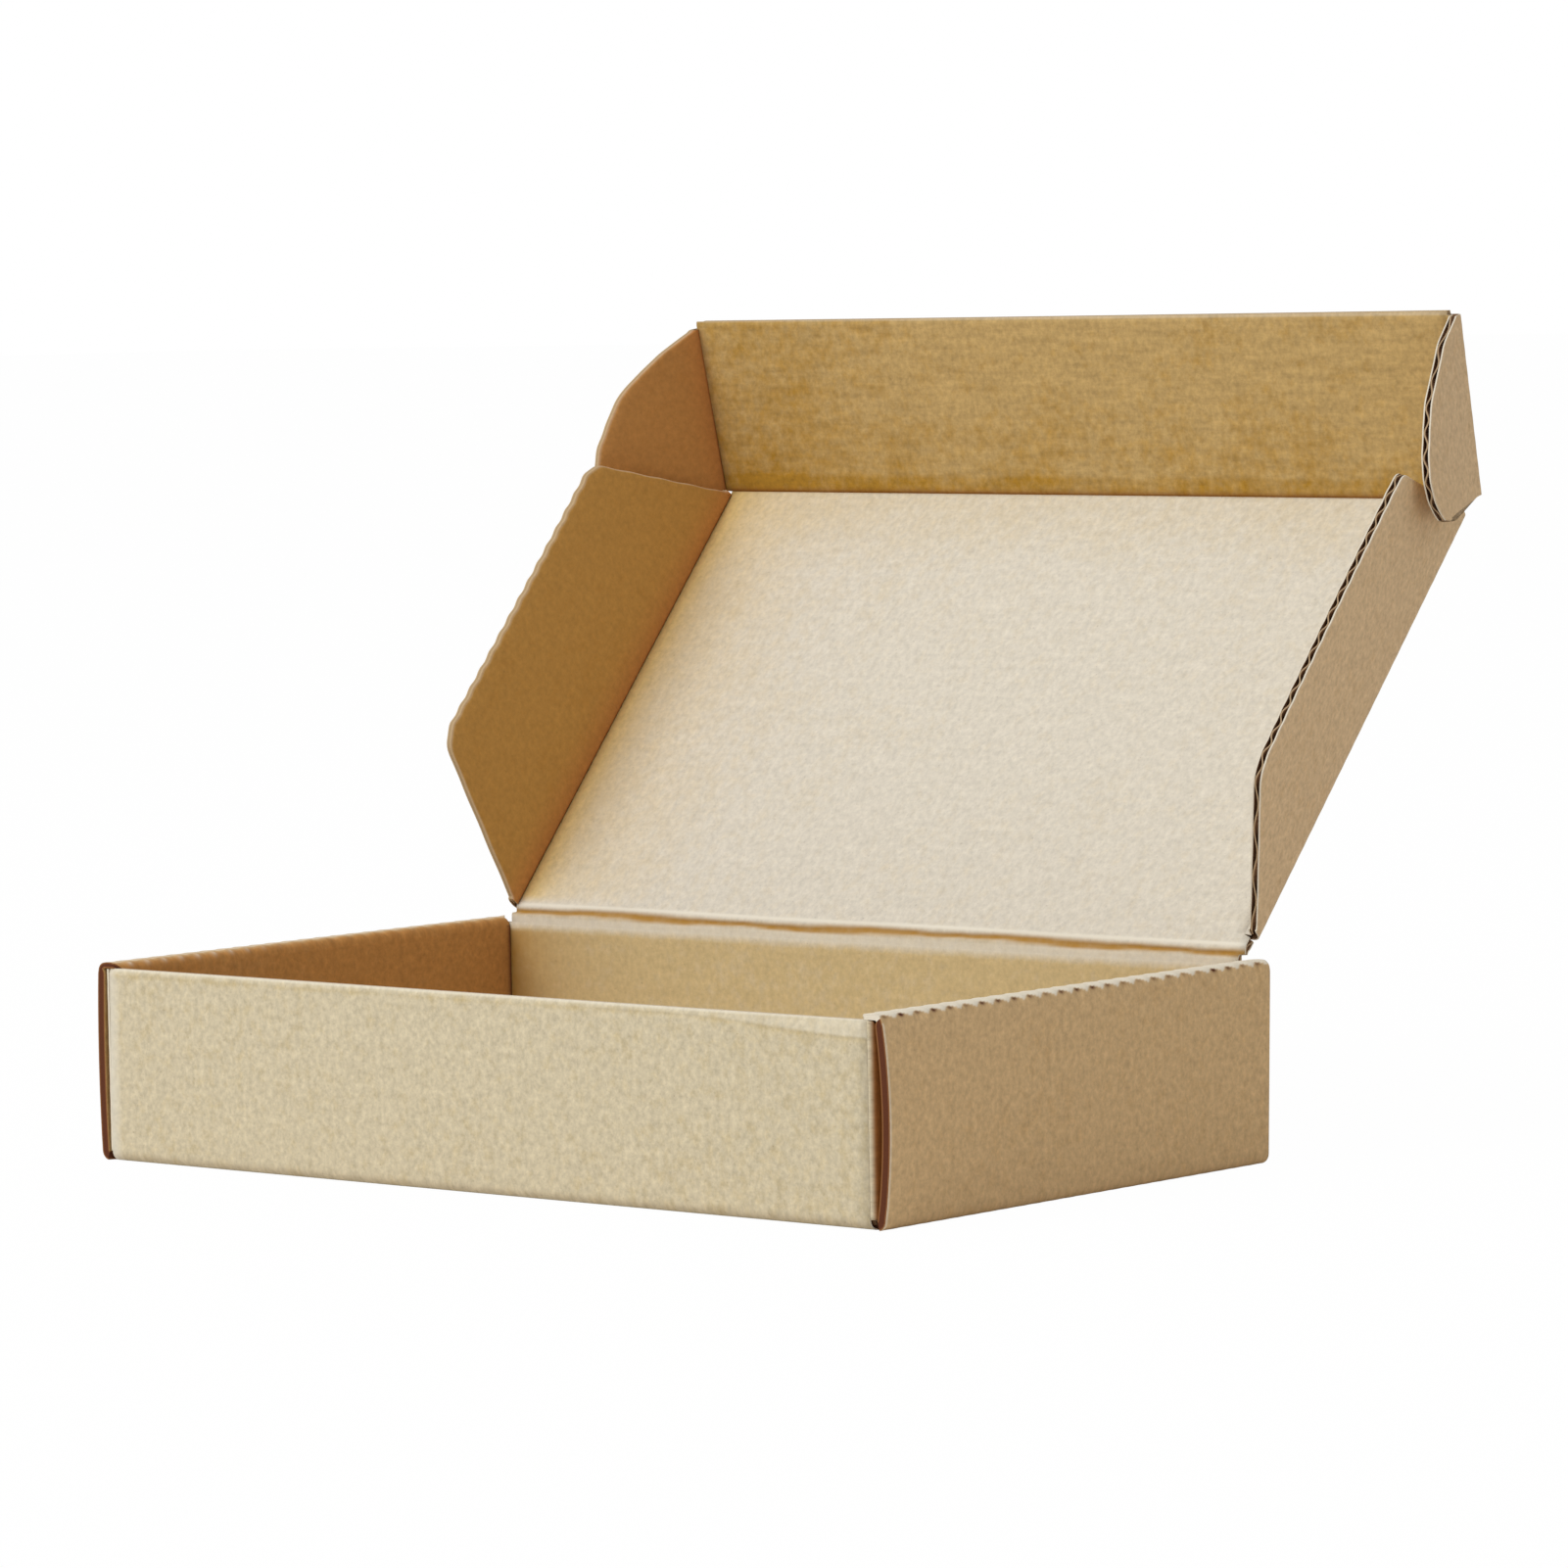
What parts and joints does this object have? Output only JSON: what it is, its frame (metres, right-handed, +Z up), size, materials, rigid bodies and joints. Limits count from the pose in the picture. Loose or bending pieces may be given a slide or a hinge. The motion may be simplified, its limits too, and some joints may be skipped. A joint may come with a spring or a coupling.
{
  "type": "mailer box",
  "caption": "Shallow mailer-style box of plain kraft corrugated board, with rolled-over side walls and a hinged lid that stands open with its side flaps, tuck flap and lugs.",
  "frame": {"origin": "middle of the tray's underside", "axes": "+X along the hinge to the box's right as seen from its front wall, +Y from the front wall to the hinge, +Z up out of the open tray"},
  "size_m": [0.2891, 0.2569, 0.2198],
  "materials": {
    "board": "matte uncoated kraft liner"
  },
  "bodies": {
    "tray": {"tray": "board"},
    "lid_panel": {"lid_panel": "board"},
    "left_side_flap": {"left_side_flap": "board"},
    "right_side_flap": {"right_side_flap": "board"},
    "tuck_flap": {"tuck_flap": "board"},
    "left_lug": {"left_lug": "board"},
    "right_lug": {"right_lug": "board"}
  },
  "joints": [
    {"name": "lid_hinge", "type": "hinge", "parent": "tray", "child": "lid_panel", "pos_m": [0, 0.07775, 0.05485], "axis": [-1, 0, 0], "range_deg": [-110.5, 49.5]},
    {"name": "left_side_crease", "type": "hinge", "parent": "lid_panel", "child": "left_side_flap", "pos_m": [-0.1266, 0.07775, 0.05485], "axis": [0, 0.6494, 0.7604], "range_deg": [-8, 17]},
    {"name": "right_side_crease", "type": "hinge", "parent": "lid_panel", "child": "right_side_flap", "pos_m": [0.1266, 0.07775, 0.05485], "axis": [0, -0.6494, -0.7604], "range_deg": [-20, 45]},
    {"name": "tuck_crease", "type": "hinge", "parent": "lid_panel", "child": "tuck_flap", "pos_m": [0, 0.17673, 0.17074], "axis": [1, 0, 0], "range_deg": [-15, 34]},
    {"name": "left_lug_crease", "type": "hinge", "parent": "tuck_flap", "child": "left_lug", "pos_m": [-0.1293, 0.17673, 0.17074], "axis": [0, -0.165, 0.9863], "range_deg": [-3, 6]},
    {"name": "right_lug_crease", "type": "hinge", "parent": "tuck_flap", "child": "right_lug", "pos_m": [0.1293, 0.17673, 0.17074], "axis": [0, 0.165, -0.9863], "range_deg": [-10, 23]}
  ],
  "couplings": [
    {"joint": "left_side_crease", "follows": "lid_hinge", "ratio": -0.15},
    {"joint": "right_side_crease", "follows": "lid_hinge", "ratio": -0.4},
    {"joint": "tuck_crease", "follows": "lid_hinge", "ratio": -0.3},
    {"joint": "left_lug_crease", "follows": "lid_hinge", "ratio": -0.05},
    {"joint": "right_lug_crease", "follows": "lid_hinge", "ratio": -0.2}
  ]
}
